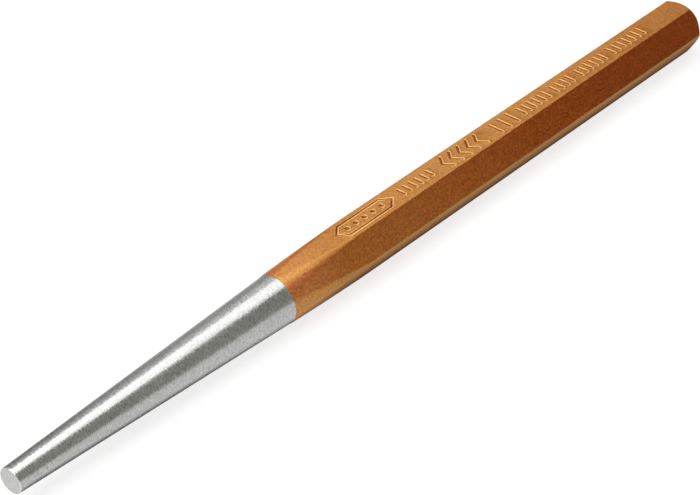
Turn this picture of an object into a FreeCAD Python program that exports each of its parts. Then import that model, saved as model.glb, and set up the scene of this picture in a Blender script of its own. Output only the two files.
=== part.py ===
"""Taper punch: one steel bar, turned to a long cone at its working end and lacquered from there to its head.

The tool lies on one flat of its hexagonal shank. Its axis runs along X, the tip at -X and the struck
head at +X, and the origin is under the middle of its length, on the surface that it lies on. The
bodies are drawn with their own origin at the middle of the tip face, on the tool's axis.
"""

import FreeCAD, Part
import math
import os
import Sketcher

SHEET = "Dimensions"

DIMENSIONS = {
    "overall_length": 300.0,
    "tip_diameter": 8.0,
    "across_flats": 16.0,
    "coat_thickness": 0.1,
    "bar_edge_radius": 0.4,
    "bare_length": 101.5,
    "bare_end_diameter": 15.74,
    "tip_edge_break": 0.2,
    "struck_face_diameter": 12.7,
    "head_chamfer_angle": 40.0,
    "mark_depth": 0.3,
    "mark_line_width": 0.7,
    "badge_start": 127.5,
    "badge_length": 25.0,
    "badge_height": 6.0,
    "badge_point": 3.5,
    "badge_line_width": 0.5,
}

# Rows of stamped marks along the top flat: shape, first mark's distance from the tip, number of
# marks, distance from the first mark to the last, and the marks' height across the flat.
MARK_ROWS = {
    "dots": ("round", 132.5, 5, 15.0, 1.5),
    "short_strokes": ("stroke", 156.5, 6, 13.0, 3.6),
    "chevrons": ("chevron", 175.5, 5, 16.0, 6.4),
    "tall_strokes": ("stroke", 201.0, 3, 8.0, 6.0),
    "fine_strokes_first": ("stroke", 213.5, 6, 12.5, 4.2),
    "fine_strokes_second": ("stroke", 230.0, 4, 8.0, 4.2),
    "fine_strokes_third": ("stroke", 242.5, 6, 12.5, 4.2),
    "fine_strokes_fourth": ("stroke", 259.5, 7, 16.0, 4.2),
}

SIDES = 6
CLEAR = "0.6 * Dimensions.across_flats"  # a radius outside the bar's corners
COAT = "Dimensions.coat_thickness"
CHEVRON_SWEEP = 0.35  # how far a chevron's point leads its ends, as a share of its height
NEARLY = 0.99  # the least share of an edge's length along X, for an edge that runs along X
TOUCHING = 0.001  # how near the tip's plane an edge on it is, in mm

# Where sketches are drawn before their expressions move them, in mm, near where they end up.
DRAWN_CONE = [(0, 4), (140, 9.6), (0, 9.6)]
DRAWN_GAUGE = (100, 8)
DRAWN_HEAD = [(0, 6), (0, 9.6), (-4, 9.6)]  # from the struck face
DRAWN_MARK = 150
DRAWN_BADGE = 140
DRAWN_HALF_HEIGHT = 3


def cell(name):
    """The sheet's cell of that name, as an expression."""
    return f"{SHEET}.{name}"


def make_sheet(doc):
    """The driving dimensions, one aliased cell each, in millimetres and degrees."""
    sheet = doc.addObject("Spreadsheet::Sheet", SHEET)
    cells = dict(DIMENSIONS)
    for row, (_shape, first, count, span, height) in MARK_ROWS.items():
        cells[f"{row}_first"] = first
        cells[f"{row}_count"] = count
        cells[f"{row}_span"] = span
        cells[f"{row}_height"] = height
    for line, (name, value) in enumerate(cells.items(), start=1):
        sheet.set(f"A{line}", name)
        sheet.set(f"B{line}", str(value))
        sheet.setAlias(f"B{line}", name)
    doc.recompute()
    return sheet


def origin_feature(body, role):
    """One of the body's own origin planes or axes."""
    return next(f for f in body.Origin.OriginFeatures if f.Role == role)


def new_sketch(body, name, plane, offset=None):
    """A sketch on one of the body's origin planes, moved along that plane's normal by offset."""
    sketch = body.newObject("Sketcher::SketchObject", name)
    sketch.AttachmentSupport = (origin_feature(body, plane), [""])
    sketch.MapMode = "FlatFace"
    if offset:
        sketch.setExpression("AttachmentOffset.Base.z", offset)
    return sketch


def polygon(sketch, points):
    """A closed ring of lines through the points, joined at their ends. Returns the lines' numbers."""
    vectors = [FreeCAD.Vector(x, y, 0) for x, y in points]
    ends = vectors[1:] + vectors[:1]
    lines = [sketch.addGeometry(Part.LineSegment(a, b), False) for a, b in zip(vectors, ends)]
    for line, following in zip(lines, lines[1:] + lines[:1]):
        sketch.addConstraint(Sketcher.Constraint("Coincident", line, 2, following, 1))
    return lines


def place_point(sketch, geometry, position, x=None, y=None, mirrored=False):
    """Holds a point of the sketch at x and y, given as expressions, or on an axis where one is "0".

    Each constraint starts from where the point was drawn, so the sketch is sound before the
    expression moves it. mirrored measures y downwards.
    """
    drawn = sketch.getPoint(geometry, position)
    point, root = (geometry, position), (-1, 1)
    if x == "0":
        sketch.addConstraint(Sketcher.Constraint("PointOnObject", *point, -2))
    elif x:
        drive(sketch, x, "DistanceX", *root, *point, drawn.x)
    if y == "0":
        sketch.addConstraint(Sketcher.Constraint("PointOnObject", *point, -1))
    elif y and mirrored:
        drive(sketch, y, "DistanceY", *point, *root, -drawn.y)
    elif y:
        drive(sketch, y, "DistanceY", *root, *point, drawn.y)


def drive(sketch, expression, *constraint):
    """Adds a constraint and binds its value to the expression."""
    number = sketch.addConstraint(Sketcher.Constraint(*constraint))
    sketch.setExpression(f"Constraints[{number}]", expression)


def hexagon(sketch, flats):
    """A regular hexagon on the axis with a flat at the top and at the bottom."""
    corner = DIMENSIONS["across_flats"] / math.sqrt(3)
    turns = [2 * math.pi * i / SIDES for i in range(SIDES)]
    lines = polygon(sketch, [(corner * math.cos(a), corner * math.sin(a)) for a in turns])
    middle = FreeCAD.Vector(0, 0, 0)
    up = FreeCAD.Vector(0, 0, 1)
    ring = sketch.addGeometry(Part.Circle(middle, up, corner), True)
    sketch.addConstraint(Sketcher.Constraint("Coincident", ring, 3, -1, 1))
    for line in lines:
        sketch.addConstraint(Sketcher.Constraint("PointOnObject", line, 1, ring))
    for line in lines[1:]:
        sketch.addConstraint(Sketcher.Constraint("Equal", lines[0], line))
    top, bottom = lines[1], lines[4]
    sketch.addConstraint(Sketcher.Constraint("Horizontal", top))
    drive(sketch, flats, "DistanceY", bottom, 1, top, 1, DIMENSIONS["across_flats"])


def bar(body, start, length, flats, edge_radius):
    """The hexagonal bar from start along the tool's axis, with its six long edges rounded."""
    sketch = new_sketch(body, "BarSection", "YZ_Plane", start)
    hexagon(sketch, flats)
    pad = body.newObject("PartDesign::Pad", "Bar")
    pad.Profile = sketch
    pad.setExpression("Length", length)
    body.Document.recompute()
    fillet = body.newObject("PartDesign::Fillet", "BarEdges")
    fillet.Base = (pad, long_edges(pad.Shape))
    fillet.setExpression("Radius", edge_radius)


def long_edges(shape):
    """The names of the bar's edges that run along X."""
    names = []
    for number, edge in enumerate(shape.Edges, start=1):
        along = edge.Vertexes[-1].Point - edge.Vertexes[0].Point
        if abs(along.x) > NEARLY * edge.Length:
            names.append(f"Edge{number}")
    return names


def groove(body, name, sketch):
    """Turns away what the sketch covers, all round the tool's axis."""
    cut = body.newObject("PartDesign::Groove", name)
    cut.Profile = sketch
    cut.ReferenceAxis = (origin_feature(body, "X_Axis"), [""])
    cut.Angle = 360.0
    return cut


def turn_taper(body, proud):
    """The cone from the tip: proud is how far the surface stands over the bare steel's cone."""
    sketch = new_sketch(body, "TaperProfile", "XZ_Plane")
    slope, top, face = polygon(sketch, DRAWN_CONE)
    gauge = sketch.addGeometry(Part.Point(FreeCAD.Vector(*DRAWN_GAUGE, 0)), True)
    place_point(sketch, slope, 1, "0", f"{cell('tip_diameter')} / 2 + {proud}")
    place_point(sketch, gauge, 1, cell("bare_length"), f"{cell('bare_end_diameter')} / 2 + {proud}")
    sketch.addConstraint(Sketcher.Constraint("PointOnObject", gauge, 1, slope))
    sketch.addConstraint(Sketcher.Constraint("Horizontal", top))
    sketch.addConstraint(Sketcher.Constraint("Vertical", face))
    place_point(sketch, top, 1, None, CLEAR)
    groove(body, "Taper", sketch)


def turn_head(body, end, face_radius):
    """The cone round the head's edge, down to the struck face at end."""
    sketch = new_sketch(body, "HeadProfile", "XZ_Plane")
    length = DIMENSIONS["overall_length"]
    face, top, slope = polygon(sketch, [(length + x, y) for x, y in DRAWN_HEAD])
    place_point(sketch, face, 1, end, face_radius)
    sketch.addConstraint(Sketcher.Constraint("Vertical", face))
    sketch.addConstraint(Sketcher.Constraint("Horizontal", top))
    place_point(sketch, top, 1, None, CLEAR)
    angle = f"{cell('head_chamfer_angle')} * 1 deg"
    drive(sketch, angle, "Angle", slope, 1, top, 2, math.radians(DIMENSIONS["head_chamfer_angle"]))
    groove(body, "HeadChamfer", sketch)


def break_tip_edge(body):
    """A small chamfer round the working face."""
    turned = body.Tip
    body.Document.recompute()
    rims = [
        f"Edge{number}"
        for number, edge in enumerate(turned.Shape.Edges, start=1)
        if edge.BoundBox.XMax < TOUCHING
    ]
    chamfer = body.newObject("PartDesign::Chamfer", "TipEdge")
    chamfer.Base = (turned, rims)
    chamfer.setExpression("Size", cell("tip_edge_break"))


def mark_outline(sketch, shape, first, height, inset):
    """One mark of a row: a round dot, a straight stroke or a chevron that points at the tip."""
    if shape == "round":
        dot = Part.Circle(FreeCAD.Vector(DRAWN_MARK, 0, 0), FreeCAD.Vector(0, 0, 1), 1)
        circle = sketch.addGeometry(dot, False)
        place_point(sketch, circle, 3, first, "0")
        drive(sketch, f"{height} / 2 - {inset}", "Radius", circle, 1.0)
        return
    half_width = f"({cell('mark_line_width')} / 2 - {inset})"
    half_height = f"({height} / 2 - {inset})"
    sweep = f"{CHEVRON_SWEEP} * {height}" if shape == "chevron" else "0"
    before, after = f"{first} - {half_width}", f"{first} + {half_width}"
    if shape == "stroke":
        corners = [(before, 1), (before, -1), (after, -1), (after, 1)]
    else:
        corners = [
            (f"{before} + {sweep}", 1),
            (before, 0),
            (f"{before} + {sweep}", -1),
            (f"{after} + {sweep}", -1),
            (after, 0),
            (f"{after} + {sweep}", 1),
        ]
    lines = polygon(sketch, drawn(DRAWN_MARK, corners))
    for line, (x, side) in zip(lines, corners):
        place_point(sketch, line, 1, x, half_height if side else "0", mirrored=side < 0)


def drawn(start, corners):
    """Where the corners of a mark are drawn: a mm apart, on their own sides of the middle line."""
    return [(start + i, DRAWN_HALF_HEIGHT * side) for i, (_x, side) in enumerate(corners)]


def stamp(body, surface, inset):
    """Presses every row of marks and the badge's outline into the flat at height surface.

    inset is how much smaller the marks are on each side, where a coat lines the steel's own marks.
    """
    for row, (shape, *_numbers) in MARK_ROWS.items():
        sketch = new_sketch(body, f"{row}_outline", "XY_Plane", surface)
        mark_outline(sketch, shape, cell(f"{row}_first"), cell(f"{row}_height"), inset)
        pocket = press(body, row, sketch)
        pattern = body.newObject("PartDesign::LinearPattern", f"{row}_row")
        pattern.Originals = [pocket]
        pattern.Direction = (origin_feature(body, "X_Axis"), [""])
        pattern.setExpression("Length", cell(f"{row}_span"))
        pattern.setExpression("Occurrences", cell(f"{row}_count"))
        body.Tip = pattern
    sketch = new_sketch(body, "badge_outline", "XY_Plane", surface)
    for step in (inset, f"{cell('badge_line_width')} - {inset}"):
        badge_ring(sketch, step)
    press(body, "badge", sketch)


def badge_ring(sketch, step):
    """A long hexagon, set in by step from the badge's outer line."""
    start, length = cell("badge_start"), cell("badge_length")
    point, half = cell("badge_point"), f"({cell('badge_height')} / 2 - {step})"
    shoulder = f"{point} + {step} / 2"
    corners = [
        (f"{start} + {step}", 0),
        (f"{start} + {shoulder}", -1),
        (f"{start} + {length} - {shoulder}", -1),
        (f"{start} + {length} - {step}", 0),
        (f"{start} + {length} - {shoulder}", 1),
        (f"{start} + {shoulder}", 1),
    ]
    lines = polygon(sketch, drawn(DRAWN_BADGE, corners))
    for line, (x, side) in zip(lines, corners):
        place_point(sketch, line, 1, x, half if side else "0", mirrored=side < 0)


def press(body, name, sketch):
    """Cuts the sketch's outlines down from the flat to the marks' depth."""
    pocket = body.newObject("PartDesign::Pocket", name)
    pocket.Profile = sketch
    pocket.setExpression("Length", cell("mark_depth"))
    body.Document.recompute()
    return pocket


def new_body(doc, name):
    """A body whose own origin, at the middle of the tip face, lies in the part's frame."""
    body = doc.addObject("PartDesign::Body", name)
    body.setExpression("Placement.Base.x", f"-{cell('overall_length')} / 2")
    body.setExpression("Placement.Base.z", f"{cell('across_flats')} / 2")
    return body


def make_steel(doc):
    """The bar itself: hexagonal, turned to a cone and a chamfered head, stamped on its top flat."""
    body = new_body(doc, "SteelPunch")
    end = f"{cell('overall_length')} - {COAT}"
    flats = f"{cell('across_flats')} - 2 * {COAT}"
    bar(body, None, end, flats, cell("bar_edge_radius"))
    turn_taper(body, "0")
    corner_gain = f"{COAT} * tan((45 - {cell('head_chamfer_angle')} / 2) * 1 deg)"
    turn_head(body, end, f"{cell('struck_face_diameter')} / 2 - {corner_gain}")
    break_tip_edge(body)
    stamp(body, f"({flats}) / 2", "0")
    body.Label = "steel_punch"
    return body


def make_coat(doc, steel):
    """The lacquer: what the finished, lacquered tool has over its steel, from the bare cone on."""
    blank = new_body(doc, "LacqueredOutside")
    length = f"{cell('overall_length')} - {cell('bare_length')}"
    radius = f"{cell('bar_edge_radius')} + {COAT}"
    bar(blank, cell("bare_length"), length, cell("across_flats"), radius)
    turn_taper(blank, COAT)
    turn_head(blank, cell("overall_length"), f"{cell('struck_face_diameter')} / 2")
    stamp(blank, f"{cell('across_flats')} / 2", COAT)
    coat = doc.addObject("Part::Cut", "LacquerCoat")
    coat.Base = blank
    coat.Tool = steel
    coat.Label = "lacquer_coat"
    return coat


def check(doc, pieces):
    """Stops on any failed object or broken shape, and prints each piece's volume."""
    for item in doc.Objects:
        if "Invalid" in item.State or "Error" in item.State:
            raise RuntimeError(f"{item.Name} failed: {item.State}")
    for piece in pieces:
        shape = piece.Shape
        if shape.isNull() or not shape.isValid() or len(shape.Solids) != 1:
            raise RuntimeError(f"{piece.Label} isn't one valid solid")
        box = shape.optimalBoundingBox(True, False)
        print(piece.Label, f"{shape.Volume:.1f} mm3", len(shape.Faces), "faces", box)


def main():
    doc = FreeCAD.newDocument("TaperPunch")
    make_sheet(doc)
    steel = make_steel(doc)
    doc.recompute()
    coat = make_coat(doc, steel)
    doc.recompute()
    pieces = [steel, coat]
    check(doc, pieces)
    os.makedirs("parts", exist_ok=True)
    for piece in pieces:
        piece.Shape.exportStep(f"parts/{piece.Label}.step")


main()
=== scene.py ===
"""The looks of a taper punch that lies on one flat of its hexagonal shank.

Both pieces are skins round the tool's axis. A point of a skin is given by s, its distance from the
tip along the axis, and by its angle and radius about the axis, where a quarter turn points up, out
of the stamped flat. These are in millimetres and radians, and place() turns them into the frame.
"""

import math
import random

import bmesh
import bpy
from mathutils import Euler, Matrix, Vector
from mathutils.geometry import delaunay_2d_cdt


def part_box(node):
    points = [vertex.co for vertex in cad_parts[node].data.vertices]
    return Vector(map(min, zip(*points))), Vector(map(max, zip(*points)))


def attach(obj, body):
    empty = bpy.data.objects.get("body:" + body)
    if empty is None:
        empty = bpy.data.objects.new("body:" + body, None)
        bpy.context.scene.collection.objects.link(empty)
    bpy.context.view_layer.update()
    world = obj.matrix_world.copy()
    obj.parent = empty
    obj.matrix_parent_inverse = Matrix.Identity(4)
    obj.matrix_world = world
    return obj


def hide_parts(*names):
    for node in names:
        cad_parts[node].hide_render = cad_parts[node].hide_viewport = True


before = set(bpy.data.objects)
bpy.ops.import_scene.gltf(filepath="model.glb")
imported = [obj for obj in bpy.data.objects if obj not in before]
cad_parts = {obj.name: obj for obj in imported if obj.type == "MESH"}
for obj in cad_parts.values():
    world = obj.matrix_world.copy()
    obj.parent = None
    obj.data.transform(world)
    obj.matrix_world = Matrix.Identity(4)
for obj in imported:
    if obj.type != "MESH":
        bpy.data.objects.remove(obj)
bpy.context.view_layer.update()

# The tool's sizes, in mm, from the frame.
MM = 0.001
STEEL_LOW, STEEL_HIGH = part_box("steel_punch")
COAT_LOW, COAT_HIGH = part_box("lacquer_coat")
AXIS_Z = (COAT_LOW.z + COAT_HIGH.z) / 2
LENGTH = (COAT_HIGH.x - STEEL_LOW.x) / MM
BARE = (COAT_LOW.x - STEEL_LOW.x) / MM  # bare steel, from the tip to the lacquer
HALF_FLATS = (COAT_HIGH.z - COAT_LOW.z) / 2 / MM
COAT = (COAT_HIGH.z - STEEL_HIGH.z) / MM

# Sizes that a box doesn't give, in mm, as in the CAD model.
TIP_RADIUS = 4.0
TIP_EDGE = 0.2
TAPER = (7.87 - TIP_RADIUS) / BARE  # the cone's radius gained for each mm of length
STRUCK_RADIUS = 6.35
STRUCK_EDGE = 0.3  # rounding between the head's chamfer and the struck face
HEAD_ANGLE = math.radians(40)
CORNER = 0.5  # rounding of the shank's six edges, over the lacquer

STEP_WIDTH = 0.5  # the bare cone's last stretch, where grinding ran out against the lacquer
STEP_HEIGHT = 0.05
LIP = 0.16  # the lacquer's rounded edge on the cone
HEAD_LENGTH = 8.0  # more than the turned part of the head

# How softly the turned and the flat surfaces run into each other, in mm of radius.
TAPER_BLEND = 0.10
HEAD_BLEND = 0.16

SIDES = 6
UP = math.pi / 2
FLAT_COLUMNS = [0.0, 0.14, 0.28, 0.42, 0.55, 0.67, 0.77, 0.85, 0.91, 0.955, 0.985, 1.0]
CORNER_COLUMNS = 5
EDGE_STEPS = 4

# Where the rings are on the tip's face, as shares of its radius, and round the head: mm past the
# chamfer's edge, then shares of the chamfer, of its turn onto the struck face, and of that face.
TIP_RINGS = (0.25, 0.5, 0.75, 0.97)
CHAMFER_EDGE_RINGS = (-2.4, -1.2, -0.6, -0.32, -0.18, -0.09, 0.0, 0.09, 0.18, 0.32)
CHAMFER_RINGS = (0.35, 0.7, 1.0)
STRUCK_EDGE_RINGS = (0.75, 0.5, 0.25, 0.0)
STRUCK_RINGS = (0.96, 0.75, 0.5, 0.25)

# How far apart the other rings are, in mm.
BARE_SPACING = 2.0
STEP_SPACING = 0.1
TAPER_SPACING = 0.6
SHANK_SPACING = 4.0
HIDDEN_SPACING = 1.5
AFTER_TIP = 1.0  # the first ring behind the tip's broken edge, from the tip
AFTER_LIP = 0.4  # the first ring behind the lacquer's rounded edge, from that edge
FLATS_START = 137.0  # where the cone has run out into the flats


def soft_min(a, b, blend):
    """The lower of two radii, rounded off where they cross."""
    near = max(blend - abs(a - b), 0.0) / blend
    return min(a, b) - near * near * blend / 4


def hexagon_radius(angle, inset=0.0):
    """How far out the shank's rounded hexagon is at that angle, set in by inset."""
    half, corner = HALF_FLATS - inset, CORNER - inset
    side = 2 * math.pi / SIDES
    off = abs((angle - UP + side / 2) % side - side / 2)  # from the middle of the nearest flat
    flat_half_width = (half - corner) * math.tan(side / 2)
    if half * math.tan(off) <= flat_half_width:
        return half / math.cos(off)
    centre = (half - corner) / math.cos(side / 2)
    turn = side / 2 - off
    return centre * math.cos(turn) + math.sqrt(corner**2 - (centre * math.sin(turn)) ** 2)


def column_angles():
    """The angles that every ring of a skin has its points at, closer together towards the edges."""
    half_width = (HALF_FLATS - CORNER) * math.tan(math.pi / SIDES)
    across = [-f for f in reversed(FLAT_COLUMNS[1:])] + FLAT_COLUMNS
    angles = []
    for side in range(SIDES):
        middle = UP - side * 2 * math.pi / SIDES
        for f in across:
            angles.append(middle - math.atan2(f * half_width, HALF_FLATS))
        for step in range(1, CORNER_COLUMNS):
            turn = step / CORNER_COLUMNS * 2 * math.pi / SIDES
            y = half_width + CORNER * math.sin(turn)
            z = HALF_FLATS - CORNER + CORNER * math.cos(turn)
            angles.append(middle - math.atan2(y, z))
    return angles


ANGLES = column_angles()
HEXAGON = [hexagon_radius(a) for a in ANGLES]
STEEL_HEXAGON = [hexagon_radius(a, COAT) for a in ANGLES]


def place(s, angle, radius):
    """A point of a skin in the frame."""
    return Vector(
        (
            STEEL_LOW.x + s * MM,
            radius * math.cos(angle) * MM,
            AXIS_Z + radius * math.sin(angle) * MM,
        )
    )


def cone(s, proud=0.0):
    """The taper's radius at s."""
    return TIP_RADIUS + TAPER * s + proud


def skin_radius(s, hexagon, inset=0.0):
    """The radius of the lacquered skin, or of the steel below it, up to where the head is turned."""
    return soft_min(cone(s, COAT - inset), hexagon, TAPER_BLEND)


def head_rings(hexagons, inset):
    """The rings round the head: over the chamfer's edge, down the chamfer and onto the struck face.

    Each ring is a list of (s, radius), one for each column.
    """
    slope = math.tan(HEAD_ANGLE)
    end = LENGTH - inset
    face = STRUCK_RADIUS - inset * math.tan(math.pi / 4 - HEAD_ANGLE / 2)
    rounding = STRUCK_EDGE - inset
    lean = math.pi / 2 - HEAD_ANGLE
    rounding_start = end - rounding * (1 - math.cos(lean))
    edges = [end - (h - face) / slope for h in hexagons]
    rings = []
    for step in CHAMFER_EDGE_RINGS:
        ring = []
        for edge, h in zip(edges, hexagons):
            s = edge + step
            ring.append((s, soft_min(h, face + (end - s) * slope, HEAD_BLEND)))
        rings.append(ring)
    for share in CHAMFER_RINGS:
        ring = []
        for edge in edges:
            start = edge + CHAMFER_EDGE_RINGS[-1]
            s = start + (rounding_start - start) * share
            ring.append((s, face + (end - s) * slope))
        rings.append(ring)
    middle = face - rounding * math.tan(lean / 2)
    for share in STRUCK_EDGE_RINGS:
        turn = lean * share
        s = end - rounding + rounding * math.cos(turn)
        rings.append([(s, middle + rounding * math.sin(turn))] * len(edges))
    for share in STRUCK_RINGS:
        rings.append([(end, middle * share)] * len(edges))
    return rings


def spread(start, end, step):
    """Places from start up to, and not including, end, about step apart."""
    count = max(1, round((end - start) / step))
    return [start + (end - start) * i / count for i in range(count)]


def shank_stations():
    """Where the lacquered skin's rings are: close together where the cone runs into the flats."""
    stations = spread(BARE + AFTER_LIP, FLATS_START, TAPER_SPACING)
    stations += spread(FLATS_START, LENGTH - HEAD_LENGTH, SHANK_SPACING)
    return stations + [LENGTH - HEAD_LENGTH]


# The stamped marks, in mm along the flat from the tip, as in the CAD model: shape, first mark's
# place, number of marks, distance from the first to the last, and height across the flat.
MARK_ROWS = [
    ("round", 132.5, 5, 15.0, 1.5),
    ("stroke", 156.5, 6, 13.0, 3.6),
    ("chevron", 175.5, 5, 16.0, 6.4),
    ("stroke", 201.0, 3, 8.0, 6.0),
    ("stroke", 213.5, 6, 12.5, 4.2),
    ("stroke", 230.0, 4, 8.0, 4.2),
    ("stroke", 242.5, 6, 12.5, 4.2),
    ("stroke", 259.5, 7, 16.0, 4.2),
]
MARK_HALF_WIDTH = 0.35
CHEVRON_SWEEP = 0.35
BADGE = {"start": 127.5, "length": 25.0, "height": 6.0, "point": 3.5, "half_width": 0.25}

# A mark's cross section, from the flat round it to its floor: (how far out from the mark's nominal
# edge, height over the flat), both in mm. The metal it pushes aside stands up beside it, on the side
# that the stamps leaned to.
MARK_SECTION = [
    (0.54, 0.0),
    (0.44, 0.03),
    (0.24, 0.13),
    (0.14, 0.14),
    (0.05, 0.07),
    (-0.05, -0.08),
    (-0.14, -0.17),
    (-0.24, -0.2),
]
# The side that the lips stand on, which also carries their painted highlight.
LEAN = Vector((0.8, -0.6))
CAP_STEPS = 6
PRESSED = (0.8, 1.08)  # no two marks were pressed equally hard
SEED = 5

# The stretch of the top flat that holds the marks, and how far the steel stays clear below it.
MARKED = (127.0, 279.0)
MARKED_HALF_WIDTH = 3.85
WELL_DEPTH = 0.43
WINDOW_TRIM = 2  # columns of the flat that stay outside the marks' window on each side
WINDOW_MARGIN = 1.0  # mm from the marked stretch to the window's ends, at least
WELD = 1e-5  # mm

# The steel's colours.
STEEL_DARK = (0.385, 0.389, 0.372, 1)
STEEL_LIGHT = (0.75, 0.752, 0.737, 1)
TIP_LIGHT = (0.9, 0.9, 0.89, 1)
# Near white on the tip's broken edge: a painted highlight.
TIP_RIM_HIGHLIGHT = (1.0, 1.0, 0.98, 1)
TIP_MASK = (0.1, 0.3)  # mm from the tip's face, where its scratches give way to the cone's lines
RIM_HIGHLIGHT_MASK = (0.005, 0.03)  # mm from the tip's face, where its broken edge and its painted highlight start

# The lacquer's colours, and where it stops being thin, in mm from its edge on the cone.
COPPER = (0.375, 0.0105, 0.0002, 1)
THIN_COPPER = (0.53, 0.072, 0.034, 1)
WARM_COPPER = (0.34, 0.05, 0.002, 1)
# Paler copper on the lips standing round the marks: a painted highlight over their thinner lacquer.
LIP_HIGHLIGHT_COPPER = (0.98, 0.45, 0.19, 1)
# Darker copper in the marks: painted shade over the lacquer gathered there.
POOLED_SHADE_COPPER = (0.25, 0.035, 0.003, 1)
THIN_END = (5.0, 25.0)

# How high over the top flat the lips are fully pale with painted highlight, and how far below it the
# marks are fully dark with painted shade, in mm.
LIP_HIGHLIGHT_HEIGHTS = (0.01, 0.07)
POOLED_SHADE_DEPTHS = (-0.01, -0.1)

# The floor. The camera sees it glow, more so further off, where the lights give it less. The tool's
# shine shows it glowing dimmer, with painted shade: a painted shadow beside the tool, painted shade
# towards the head and a painted dark spot past the head. Lengths are in mm but for FLOOR_REACH in
# metres, and strengths are radiances or shares of them.
FLOOR_REACH = 6.0
FLOOR_ALBEDO = 0.3
FLOOR_GLOW = [(0.0, 0.76), (0.1, 0.9), (0.3, 1.02)]  # share of the reach from the middle, radiance
FLOOR_IN_SHINE = 0.8
FLOOR_AT_HEAD = 0.8  # what is left of it at the head, as painted shade towards the head
FLOOR_SHADE = (0.26, 0.05)  # what the painted shadow beside the tool leaves, at the tip and from the lacquer's edge on
SHADE_REACH = (4.2, 9.5)  # from the tool's axis: where that shade starts to lift and where it ends
SHADE_START = 8.0  # from the tip
PAST_HEAD = (25.0, 10.0)  # the middle of the painted dark spot, from the struck face's middle
PAST_HEAD_REACH = (13.0, 24.0)

# The low card behind the tool, in metres, its radiance at the tip's end and further on, and where
# along the tool it changes.
CARD_HALF_WIDTH = 0.5
CARD_BEHIND = 0.05
CARD_HEIGHTS = (0.001, 0.03)
CARD_GLOW = (0.2, 0.39)
CARD_CHANGE = (-0.11, -0.06)

# The room's radiance in front of the tool and behind it, and how far towards the back a direction
# points where it changes.
ROOM_GLOW = (0.0, 0.376)
ROOM_CHANGE = (-0.5, 0.6)

WHITE = (1.0, 1.0, 1.0)
OLIVE = (0.99, 1.01, 0.9)

# The studio's even rectangles of light: place, turn, size in metres, radiance and colour.
LIGHTS = {
    "overhead_softbox": ((-0.151, 0.098, 0.806), (0, 0, 0), (1.621, 0.735), 1.73, WHITE),
    "left_softbox": ((-0.749, 0.301, 0.806), (0, 0, 0), (1.2, 1.0), 2.8, WHITE),
    "right_softbox": ((1.058, 0.978, 0.806), (0, 0, 0), (0.4, 0.534), 2.65, WHITE),
    "front_card": ((-0.38, -0.14, 0.147), (math.pi / 2, 0, 0), (1.04, 0.294), 0.286, OLIVE),
    "floor_bounce": ((0, -0.33, 0.001), (math.pi, 0, 0), (1.4, 0.6), 0.3, WHITE),
}
NOT_IN_SHINE = "floor_bounce"  # the light that the tool's shine doesn't show

# The camera's lens and sensor in mm, the point it looks at, where it stands from there, and its roll.
LENS = 129.2
SENSOR = 36.0
AIM = Vector((-0.0159, 0.0006, AXIS_Z))
FROM_AIM = Vector((-0.4387, -0.4015, 0.43035))
ROLL = math.radians(-1.64)


def unit(a, b):
    return (b - a).normalized()


def miter(before, at, after, distance):
    """Where the lines distance to the left of two joined stretches meet."""
    first, second = unit(before, at), unit(at, after)
    left = Vector((-first.y, first.x)) + Vector((-second.y, second.x))
    left.normalize()
    cosine = left.dot(Vector((-first.y, first.x)))
    return at + left * (distance / cosine)


def cap(middle, direction, distance):
    """Half a circle round the end of a line, from its left to its right."""
    start = math.atan2(direction.y, direction.x) + math.pi / 2
    turns = [start - math.pi * i / CAP_STEPS for i in range(CAP_STEPS + 1)]
    return [middle + distance * Vector((math.cos(t), math.sin(t))) for t in turns]


def outline(path, distance):
    """The closed line at that distance round a path of one, two or more points."""
    if len(path) == 1:
        turns = [math.pi * i / CAP_STEPS for i in range(2 * CAP_STEPS)]
        return [path[0] + distance * Vector((math.cos(t), math.sin(t))) for t in turns]
    ring = []
    for way in (path, path[::-1]):
        for before, at, after in zip(way, way[1:], way[2:]):
            ring.append(miter(before, at, after, distance))
        ring += cap(way[-1], unit(way[-2], way[-1]), distance)
    return ring


def mark_paths():
    """Each mark's middle line and half its width."""
    for shape, first, count, span, height in MARK_ROWS:
        for i in range(count):
            s = first + span * i / (count - 1)
            if shape == "round":
                yield [Vector((s, 0))], height / 2
                continue
            reach = height / 2 - MARK_HALF_WIDTH
            if shape == "stroke":
                yield [Vector((s, -reach)), Vector((s, reach))], MARK_HALF_WIDTH
                continue
            swept = s + CHEVRON_SWEEP * height
            yield [Vector((swept, -reach)), Vector((s, 0)), Vector((swept, reach))], MARK_HALF_WIDTH


def badge_corners():
    """The middle line of the long hexagon round the first marks."""
    start, end = BADGE["start"], BADGE["start"] + BADGE["length"]
    half, line = BADGE["height"] / 2, BADGE["half_width"]
    first, last = start + BADGE["point"], end - BADGE["point"]
    return [
        Vector((start + line, 0)),
        Vector((first, -half + line)),
        Vector((last, -half + line)),
        Vector((end - line, 0)),
        Vector((last, half - line)),
        Vector((first, half - line)),
    ]


def nearest(point, path):
    """The point of the path that is nearest."""
    if len(path) == 1:
        return path[0]
    found = []
    for a, b in zip(path, path[1:]):
        share = (point - a).dot(b - a) / (b - a).length_squared
        found.append(a.lerp(b, min(max(share, 0.0), 1.0)))
    return min(found, key=lambda p: (point - p).length)


def with_heights(line, path, height):
    """The line's points with their heights: what stands up beside the path does so on one side."""
    heights = []
    for point in line:
        leaning = 0.5 + 0.5 * unit(nearest(point, path), point).dot(LEAN)
        heights.append(height * leaning if height > 0 else height)
    return line, heights


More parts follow.
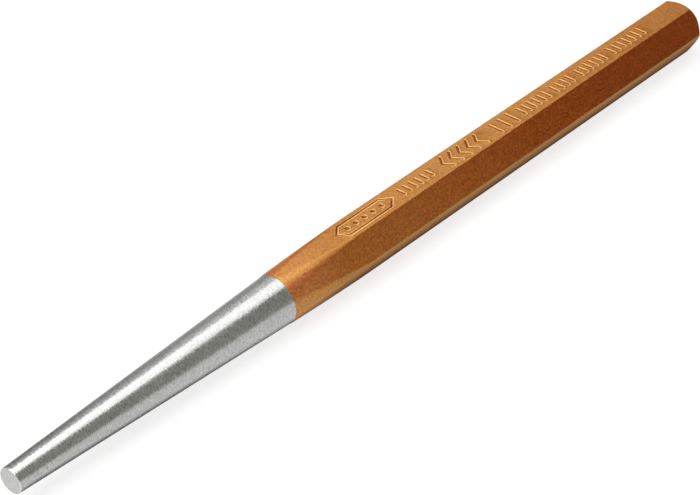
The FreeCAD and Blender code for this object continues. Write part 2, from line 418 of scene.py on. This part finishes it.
def marks_on_flat():
    """The closed lines of every mark's section: a list of (points along and across the flat, heights)."""
    hand = random.Random(SEED)
    loops = []
    for path, half_width in mark_paths():
        weight = hand.uniform(*PRESSED)
        for out, height in MARK_SECTION:
            loops.append(with_heights(outline(path, half_width + out), path, height * weight))
    corners = badge_corners()
    count = len(corners)
    for side in (1, -1):
        for out, height in MARK_SECTION:
            distance = side * (BADGE["half_width"] + out)
            if distance * side <= 0:
                continue
            ring = [
                miter(corners[i - 1], corners[i], corners[(i + 1) % count], distance)
                for i in range(count)
            ]
            loops.append(with_heights(ring, corners + corners[:1], height))
    return loops


class Skin:
    """A closed surface round the axis, built from rings of points, one point for each column."""

    def __init__(self):
        self.points = []
        self.relief = []
        self.faces = []

    def add_point(self, s, angle, radius, height=0.0):
        """height is how far over the top flat the point stands, and is negative in a mark."""
        self.points.append(place(s, angle, radius) + Vector((0, 0, height * MM)))
        self.relief.append(height)
        return len(self.points) - 1

    def add_rings(self, rings):
        """Each ring is (s, radius) for each column."""
        return [[self.add_point(s, a, r) for a, (s, r) in zip(ANGLES, ring)] for ring in rings]

    def join(self, rings, window=None):
        """Faces between neighbouring rings, but for the window: first and last ring and column."""
        for number, (ring, after) in enumerate(zip(rings, rings[1:])):
            for i in range(len(ANGLES)):
                if window and window[0] <= number < window[1] and window[2] <= i < window[3]:
                    continue
                j = (i + 1) % len(ANGLES)
                self.faces.append((ring[i], ring[j], after[j], after[i]))

    def close(self, ring, s):
        """Faces from a ring to a point on the axis."""
        pole = self.add_point(s, 0.0, 0.0)
        self.faces += [(ring[i - 1], ring[i], pole) for i in range(len(ring))]

    def fill(self, rings, window, stations, loops):
        """Fills the window in the top flat with triangles that follow the marks' lines."""
        first, last, low, high = window
        rim = [(first, c) for c in range(low, high)]
        rim += [(r, high) for r in range(first, last)]
        rim += [(last, c) for c in range(high, low, -1)]
        rim += [(r, low) for r in range(last, first, -1)]
        flat = [Vector((stations[r], HALF_FLATS * math.tan(UP - ANGLES[c]))) for r, c in rim]
        known = [rings[r][c] for r, c in rim]
        heights = [0.0] * len(flat)
        edges = [(i, (i + 1) % len(flat)) for i in range(len(flat))]
        for line, line_heights in loops:
            start, count = len(flat), len(line)
            flat += line
            heights += line_heights
            edges += [(start + i, start + (i + 1) % count) for i in range(count)]
        points, _, triangles, sources, _, _ = delaunay_2d_cdt(flat, edges, [], 0, WELD)
        numbers = []
        for point, source in zip(points, sources):
            if source and source[0] < len(known):
                numbers.append(known[source[0]])
                continue
            angle = UP - math.atan2(point.y, HALF_FLATS)
            radius = skin_radius(point.x, hexagon_radius(angle))
            height = heights[source[0]] if source else 0.0
            numbers.append(self.add_point(point.x, angle, radius, height))
        self.faces += [tuple(numbers[i] for i in triangle) for triangle in triangles]

    def build(self, name, material):
        """The object, with its faces turned outwards and shaded smooth."""
        mesh = bpy.data.meshes.new(name)
        mesh.from_pydata([tuple(p) for p in self.points], [], self.faces)
        turned = bmesh.new()
        turned.from_mesh(mesh)
        bmesh.ops.recalc_face_normals(turned, faces=turned.faces)
        turned.to_mesh(mesh)
        turned.free()
        mesh.polygons.foreach_set("use_smooth", [True] * len(mesh.polygons))
        mesh.attributes.new("relief", "FLOAT", "POINT").data.foreach_set("value", self.relief)
        mesh.materials.append(material)
        piece = bpy.data.objects.new(name, mesh)
        bpy.context.scene.collection.objects.link(piece)
        return piece


def bare_radius(s):
    """The ground cone, with the small rise that grinding left in front of the lacquer."""
    rise = max(0.0, (s - BARE + STEP_WIDTH) / STEP_WIDTH)
    return cone(s) + STEP_HEIGHT * rise * rise


def hidden_radius(s, angle, hexagon):
    """The steel's skin under the lacquer, which is lower below the marks than the deepest of them."""
    radius = skin_radius(s, hexagon, COAT)
    across = HALF_FLATS * math.tan(UP - angle) if abs(angle - UP) < math.pi / SIDES else HALF_FLATS
    if MARKED[0] < s < MARKED[1] and abs(across) < MARKED_HALF_WIDTH:
        radius -= WELL_DEPTH
    return radius


def hidden_rings():
    """Where lacquer and steel touch, from just behind the lacquer's edge to the struck face."""
    columns = list(zip(ANGLES, STEEL_HEXAGON))
    stations = spread(BARE, LENGTH - HEAD_LENGTH, HIDDEN_SPACING)[1:]
    rings = [[(s, hidden_radius(s, a, h)) for a, h in columns] for s in stations]
    return rings + head_rings(STEEL_HEXAGON, COAT)


def build_steel(material):
    """The bar: the tip's face and its broken edge, the ground cone, and what the lacquer hides."""
    rings = [[(0.0, (TIP_RADIUS - TIP_EDGE) * share)] * len(ANGLES) for share in TIP_RINGS]
    for step in range(EDGE_STEPS + 1):
        turn = math.pi / 2 * step / EDGE_STEPS
        s = TIP_EDGE * (1 - math.cos(turn))
        rings.append([(s, cone(s) - TIP_EDGE * (1 - math.sin(turn)))] * len(ANGLES))
    stations = spread(AFTER_TIP, BARE - STEP_WIDTH, BARE_SPACING)
    stations += spread(BARE - STEP_WIDTH, BARE, STEP_SPACING)
    for s in stations + [BARE]:
        rings.append([(s, soft_min(bare_radius(s), h, TAPER_BLEND)) for h in STEEL_HEXAGON])
    skin = Skin()
    rings = skin.add_rings(rings + hidden_rings())
    skin.join(rings)
    skin.close(rings[0], 0.0)
    skin.close(rings[-1], LENGTH - COAT)
    return skin.build("steel", material)


def build_lacquer(material):
    """The lacquer's shell: its edge on the cone, its outside with the marks, and its inside."""
    base = bare_radius(BARE)
    stations = [BARE + LIP * (1 - math.cos(UP * i / EDGE_STEPS)) for i in range(EDGE_STEPS + 1)]
    rings = []
    for i, s in enumerate(stations):
        rise = (cone(s, COAT) - base) * math.sin(UP * i / EDGE_STEPS)
        rings.append([(s, soft_min(base + rise, h, TAPER_BLEND)) for h in HEXAGON])
    for s in shank_stations():
        stations.append(s)
        rings.append([(s, skin_radius(s, h)) for h in HEXAGON])
    window = (
        next(i for i, s in enumerate(stations) if s > MARKED[0] - WINDOW_MARGIN),
        next(i for i, s in enumerate(stations) if s > MARKED[1] + WINDOW_MARGIN),
        WINDOW_TRIM,
        2 * len(FLAT_COLUMNS) - 2 - WINDOW_TRIM,
    )
    skin = Skin()
    outside = skin.add_rings(rings + head_rings(HEXAGON, 0.0))
    skin.join(outside, window)
    skin.fill(outside, window, stations, marks_on_flat())
    skin.close(outside[-1], LENGTH)
    inside = outside[:1] + skin.add_rings(hidden_rings())
    skin.join(inside)
    skin.close(inside[-1], LENGTH - COAT)
    return skin.build("lacquer", material)


def add(tree, kind, inputs=None, **settings):
    """A shader node, with its settings, and its inputs as values or as sockets to link."""
    node = tree.nodes.new("ShaderNode" + kind)
    for name, value in settings.items():
        setattr(node, name, value)
    for name, value in (inputs or {}).items():
        if isinstance(value, bpy.types.NodeSocket):
            tree.links.new(value, node.inputs[name])
        else:
            node.inputs[name].default_value = value
    return node


def math_node(tree, operation, *values):
    return add(tree, "Math", dict(enumerate(values)), operation=operation).outputs[0]


def noise(tree, vector, lengths, detail=2.0):
    """Smooth noise from 0 to 1, with features of those lengths in mm along x, y and z."""
    scale = [1 / (length * MM) for length in lengths]
    scaled = add(tree, "Mapping", {"Vector": vector, "Scale": scale}).outputs[0]
    texture = add(tree, "TexNoise", {"Vector": scaled, "Scale": 1.0, "Detail": detail})
    return texture.outputs[0]


def fit(tree, value, low, high, to_low, to_high):
    """value, which runs from low to high, as a value from to_low to to_high."""
    values = {"Value": value, "From Min": low, "From Max": high, "To Min": to_low, "To Max": to_high}
    return add(tree, "MapRange", values).outputs[0]


def blend(tree, factor, first, second):
    """Two colours mixed."""
    mix = add(tree, "Mix", {0: factor, 6: first, 7: second}, data_type="RGBA")
    return mix.outputs[2]


def new_material(name):
    """A material, its tree, its shader and the place on the object that it shades."""
    material = bpy.data.materials.new(name)
    material.use_nodes = True
    tree = material.node_tree
    place_on_object = add(tree, "TexCoord").outputs["Object"]
    return material, tree, tree.nodes["Principled BSDF"], place_on_object


def steel_material():
    """Ground steel: fine lines round the cone, a salt-and-pepper grain and a scratched tip,
    whose broken edge has a painted highlight.
    """
    material, tree, shader, here = new_material("ground_steel")
    lines = noise(tree, here, (0.26, 1.15, 1.15), 2.0)
    grain = noise(tree, here, (0.5, 0.5, 0.5), 1.0)
    patches = noise(tree, here, (14.0, 9.0, 9.0), 2.0)
    scratches = noise(tree, here, (1.0, 0.3, 1.8), 3.0)
    x = add(tree, "SeparateXYZ", {0: here}).outputs[0]
    tip = fit(tree, x, *(STEEL_LOW.x + s * MM for s in TIP_MASK), 1.0, 0.0)
    marks = add(tree, "Mix", {0: tip, 2: lines, 3: scratches}).outputs[0]

    height = math_node(tree, "MULTIPLY_ADD", grain, 0.8, marks)
    bump = add(tree, "Bump", {"Height": height, "Strength": 1.0, "Distance": 0.03 * MM})
    tree.links.new(bump.outputs[0], shader.inputs["Normal"])

    rough = fit(tree, marks, 0.3, 0.7, 0.24, 0.33)
    rough = math_node(tree, "ADD", rough, fit(tree, patches, 0.3, 0.7, -0.02, 0.02))
    tree.links.new(rough, shader.inputs["Roughness"])
    tone = fit(tree, math_node(tree, "MULTIPLY_ADD", grain, 0.6, marks), 0.5, 1.1, 0.0, 1.0)
    colour = blend(tree, tone, STEEL_DARK, STEEL_LIGHT)
    colour = blend(tree, math_node(tree, "MULTIPLY", tip, 0.35), colour, TIP_LIGHT)
    # The tip's broken edge is painted near white: a painted highlight.
    rim = fit(tree, x, *(STEEL_LOW.x + s * MM for s in RIM_HIGHLIGHT_MASK), 0.0, 1.0)
    colour = blend(tree, math_node(tree, "MULTIPLY", tip, rim), colour, TIP_RIM_HIGHLIGHT)
    tree.links.new(colour, shader.inputs["Base Color"])
    shader.inputs["Metallic"].default_value = 1.0
    return material


def lacquer_material():
    """Copper lacquer with metal flakes under a clear coat.

    It is thinner and paler near its edge. What stands up round the marks is paler still, a painted
    highlight over thinner lacquer, and the marks are darker, painted shade over lacquer gathered in them.
    """
    material, tree, shader, here = new_material("copper_lacquer")
    flakes = noise(tree, here, (0.68, 0.68, 0.68), 1.0)
    peel = noise(tree, here, (2.2, 2.2, 2.2), 1.0)
    patches = noise(tree, here, (9.0, 6.0, 6.0), 2.0)
    relief = add(tree, "Attribute", attribute_name="relief").outputs["Fac"]
    x = add(tree, "SeparateXYZ", {0: here}).outputs[0]

    height = math_node(tree, "MULTIPLY_ADD", peel, 1.2, flakes)
    bump = add(tree, "Bump", {"Height": height, "Strength": 1.0, "Distance": 0.025 * MM})
    tree.links.new(bump.outputs[0], shader.inputs["Normal"])

    thin = fit(tree, x, *(COAT_LOW.x + s * MM for s in THIN_END), 1.0, 0.0)
    thin.node.interpolation_type = "SMOOTHSTEP"
    copper = blend(tree, thin, COPPER, THIN_COPPER)
    copper = blend(tree, fit(tree, patches, 0.3, 0.7, 0.0, 0.16), copper, WARM_COPPER)
    tone = fit(tree, flakes, 0.3, 0.7, 0.75, 1.25)
    copper = add(tree, "VectorMath", {0: copper, "Scale": tone}, operation="SCALE").outputs[0]
    metallic = fit(tree, flakes, 0.3, 0.7, 0.46, 0.1)

    # Paler where the lacquer stands up round the marks: painted highlight.
    lip_highlight = fit(tree, relief, *LIP_HIGHLIGHT_HEIGHTS, 0.0, 1.0)
    copper = blend(tree, lip_highlight, copper, LIP_HIGHLIGHT_COPPER)
    # Darker and more metallic in the marks: painted shade.
    pooled_shade = fit(tree, relief, *POOLED_SHADE_DEPTHS, 0.0, 1.0)
    copper = blend(tree, pooled_shade, copper, POOLED_SHADE_COPPER)
    metallic = add(tree, "Mix", {0: pooled_shade, 2: metallic, 3: 0.85}).outputs[0]
    tree.links.new(copper, shader.inputs["Base Color"])
    tree.links.new(metallic, shader.inputs["Metallic"])
    tree.links.new(fit(tree, flakes, 0.3, 0.7, 0.34, 0.425), shader.inputs["Roughness"])
    shader.inputs["IOR"].default_value = 3.2
    shader.inputs["Specular Tint"].default_value = (1.0, 0.97, 0.135, 1)
    shader.inputs["Coat Weight"].default_value = 0.23
    shader.inputs["Coat Roughness"].default_value = 0.284
    shader.inputs["Coat IOR"].default_value = 1.9
    return material


def stage_plane(name, corners, material):
    """A flat piece of the studio, which isn't part of the object."""
    mesh = bpy.data.meshes.new(name)
    mesh.from_pydata(corners, [], [(0, 1, 2, 3)])
    mesh.materials.append(material)
    plane = bpy.data.objects.new(name, mesh)
    bpy.context.scene.collection.objects.link(plane)
    return plane


def floor_glow(tree, here):
    """The floor's own radiance to the camera."""
    distance = add(tree, "VectorMath", {0: here}, operation="LENGTH").outputs["Value"]
    glow = add(tree, "ValToRGB", {0: math_node(tree, "DIVIDE", distance, FLOOR_REACH)})
    glow.color_ramp.interpolation = "B_SPLINE"
    stops = glow.color_ramp.elements
    for place_on_ramp, value in FLOOR_GLOW:
        stop = stops.new(place_on_ramp)
        stop.color = (value, value, value, 1)
    stops.remove(stops[0])
    stops.remove(stops[-1])
    return glow.outputs[0]


def floor_in_shine(tree, here):
    """The floor's radiance in the tool's shine, with its painted shadow and painted shade."""
    x, y = add(tree, "SeparateXYZ", {0: here}).outputs[:2]
    middle = (COAT_HIGH.x + STEEL_LOW.x + SHADE_START * MM) / 2
    half = (LENGTH - SHADE_START) / 2 * MM
    off = math_node(tree, "ABSOLUTE", math_node(tree, "SUBTRACT", x, middle))
    beyond = math_node(tree, "MAXIMUM", math_node(tree, "SUBTRACT", off, half), 0.0)
    across = add(tree, "CombineXYZ", {0: beyond, 1: y}).outputs[0]
    from_axis = add(tree, "VectorMath", {0: across}, operation="LENGTH").outputs["Value"]
    shades = (FLOOR_IN_SHINE * shade for shade in FLOOR_SHADE)
    shaded = fit(tree, x, STEEL_LOW.x, COAT_LOW.x, *shades)
    low, high = (reach * MM for reach in SHADE_REACH)
    radiance = fit(tree, from_axis, low, high, shaded, FLOOR_IN_SHINE)
    radiance.node.interpolation_type = "SMOOTHSTEP"
    # Painted shade towards the head.
    shade_to_head = fit(tree, x, COAT_LOW.x, COAT_HIGH.x, 1.0, FLOOR_AT_HEAD)
    # A painted dark spot past the head.
    spot = (COAT_HIGH.x + PAST_HEAD[0] * MM, PAST_HEAD[1] * MM, 0)
    from_spot = add(tree, "VectorMath", {0: here, 1: spot}, operation="DISTANCE").outputs["Value"]
    low, high = (reach * MM for reach in PAST_HEAD_REACH)
    past_head_shade = fit(tree, from_spot, low, high, 0.0, 1.0)
    return math_node(tree, "MULTIPLY", radiance, math_node(tree, "MULTIPLY", shade_to_head, past_head_shade))


def floor():
    """A pale floor, near white to the camera and dimmer in the tool's shine, where shade is painted into
    its glow.
    """
    material, tree, shader, here = new_material("pale_floor")
    tree.links.new(floor_glow(tree, here), shader.inputs["Emission Strength"])
    shader.inputs["Emission Color"].default_value = (1, 1, 1, 1)
    shader.inputs["Base Color"].default_value = (FLOOR_ALBEDO, FLOOR_ALBEDO, FLOOR_ALBEDO, 1)
    shader.inputs["Roughness"].default_value = 1.0
    shader.inputs["Specular IOR Level"].default_value = 0.0
    in_shine = {"Color": (1, 1, 1, 1), "Strength": floor_in_shine(tree, here)}
    shine = add(tree, "Emission", in_shine).outputs[0]
    seen = add(tree, "LightPath").outputs["Is Camera Ray"]
    mixed = add(tree, "MixShader", {0: seen, 1: shine, 2: shader.outputs[0]}).outputs[0]
    tree.links.new(mixed, tree.nodes["Material Output"].inputs["Surface"])
    r = FLOOR_REACH
    stage_plane("floor", [(-r, -r, 0), (r, -r, 0), (r, r, 0), (-r, r, 0)], material)


def grey_card():
    """A low grey card behind the tool, seen only in its shine, so that its far edge isn't lost."""
    material, tree, shader, here = new_material("grey_card")
    shader.inputs["Base Color"].default_value = (0, 0, 0, 1)
    shader.inputs["Specular IOR Level"].default_value = 0.0
    shader.inputs["Emission Color"].default_value = (1, 1, 1, 1)
    x = add(tree, "SeparateXYZ", {0: here}).outputs[0]
    tree.links.new(fit(tree, x, *CARD_CHANGE, *CARD_GLOW), shader.inputs["Emission Strength"])
    w, y = CARD_HALF_WIDTH, CARD_BEHIND
    low, high = CARD_HEIGHTS
    card = stage_plane("grey_card", [(-w, y, low), (w, y, low), (w, y, high), (-w, y, high)], material)
    card.visible_camera = False
    card.visible_diffuse = False
    card.visible_shadow = False


def studio():
    """A grey room behind the lights, which the camera itself sees as white."""
    scene = bpy.context.scene
    scene.view_settings.view_transform = "Standard"
    world = bpy.data.worlds.new("studio")
    scene.world = world
    world.use_nodes = True
    tree = world.node_tree
    tree.nodes.clear()
    direction = add(tree, "SeparateXYZ", {0: add(tree, "TexCoord").outputs["Generated"]})
    depth = fit(tree, direction.outputs["Y"], *ROOM_CHANGE, *ROOM_GLOW)
    depth.node.interpolation_type = "SMOOTHSTEP"
    room = add(tree, "Background", {"Color": (1, 1, 1, 1), "Strength": depth}).outputs[0]
    white = add(tree, "Background", {"Color": (1, 1, 1, 1), "Strength": 1.0}).outputs[0]
    seen = add(tree, "LightPath").outputs["Is Camera Ray"]
    mixed = add(tree, "MixShader", {0: seen, 1: room, 2: white}).outputs[0]
    add(tree, "OutputWorld", {0: mixed})
    for name, light in LIGHTS.items():
        area_light(name, *light)


def area_light(name, place_in_room, turn, size, radiance, colour):
    """An even rectangle of light, which the camera doesn't see. Unturned, it faces down."""
    light = bpy.data.lights.new(name, "AREA")
    light.shape = "RECTANGLE"
    light.size, light.size_y = size
    light.energy = radiance * math.pi * light.size * light.size_y
    light.color = colour
    lamp = bpy.data.objects.new(name, light)
    lamp.location = place_in_room
    lamp.rotation_euler = turn
    lamp.visible_camera = False
    lamp.visible_glossy = name != NOT_IN_SHINE
    bpy.context.scene.collection.objects.link(lamp)


def camera():
    """The photograph's view: from in front of the tip, about 36 degrees above the floor."""
    lens = bpy.data.cameras.new("camera")
    lens.lens = LENS
    lens.sensor_width = SENSOR
    eye = bpy.data.objects.new("camera", lens)
    eye.location = AIM + FROM_AIM
    look = (-FROM_AIM).to_track_quat("-Z", "Y")
    eye.rotation_euler = (look @ Euler((0, 0, ROLL)).to_quaternion()).to_euler()
    bpy.context.scene.collection.objects.link(eye)
    bpy.context.scene.camera = eye


def main():
    steel = build_steel(steel_material())
    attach(steel, "root")
    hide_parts("steel_punch")
    coat = build_lacquer(lacquer_material())
    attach(coat, "root")
    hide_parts("lacquer_coat")
    floor()
    grey_card()
    studio()
    camera()


main()
